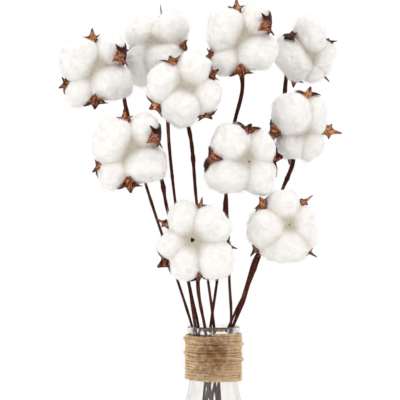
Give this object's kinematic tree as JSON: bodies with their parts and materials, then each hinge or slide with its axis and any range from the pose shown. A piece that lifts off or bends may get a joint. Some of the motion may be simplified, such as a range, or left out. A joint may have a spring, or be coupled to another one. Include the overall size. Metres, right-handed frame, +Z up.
{
  "type": "cotton stem bunch",
  "caption": "Bunch of dried cotton stems with open white bolls, standing in a clear glass bottle vase whose neck is wound with jute twine.",
  "frame": {"origin": "centre of the vase's flat base, on the surface it stands on", "axes": "+Z up along the vase's axis; +Y towards the back, so that the open bolls face -Y; +X to the right seen from the front"},
  "size_m": [0.2133, 0.1357, 0.4455],
  "materials": {
    "clear_glass": "clear, polished",
    "jute_twine": "matte, hairy bast fibre",
    "twig_bark": "dry bark, satin",
    "burr_husk": "dry husk, satin",
    "cotton_lint": "matte loose fibre"
  },
  "bodies": {
    "root": {"vase": "clear_glass", "twine": "jute_twine", "twig_01": "twig_bark", "burr_01": "burr_husk", "cotton_01": "cotton_lint", "twig_02": "twig_bark", "burr_02": "burr_husk", "cotton_02": "cotton_lint", "twig_03": "twig_bark", "burr_03": "burr_husk", "cotton_03": "cotton_lint", "twig_04": "twig_bark", "burr_04": "burr_husk", "cotton_04": "cotton_lint", "twig_05": "twig_bark", "burr_05": "burr_husk", "cotton_05": "cotton_lint", "twig_06": "twig_bark", "burr_06": "burr_husk", "cotton_06": "cotton_lint", "twig_07": "twig_bark", "burr_07": "burr_husk", "cotton_07": "cotton_lint", "twig_08": "twig_bark", "burr_08": "burr_husk", "cotton_08": "cotton_lint", "twig_09": "twig_bark", "burr_09": "burr_husk", "cotton_09": "cotton_lint", "twig_10": "twig_bark", "burr_10": "burr_husk", "cotton_10": "cotton_lint"}
  },
  "joints": []
}
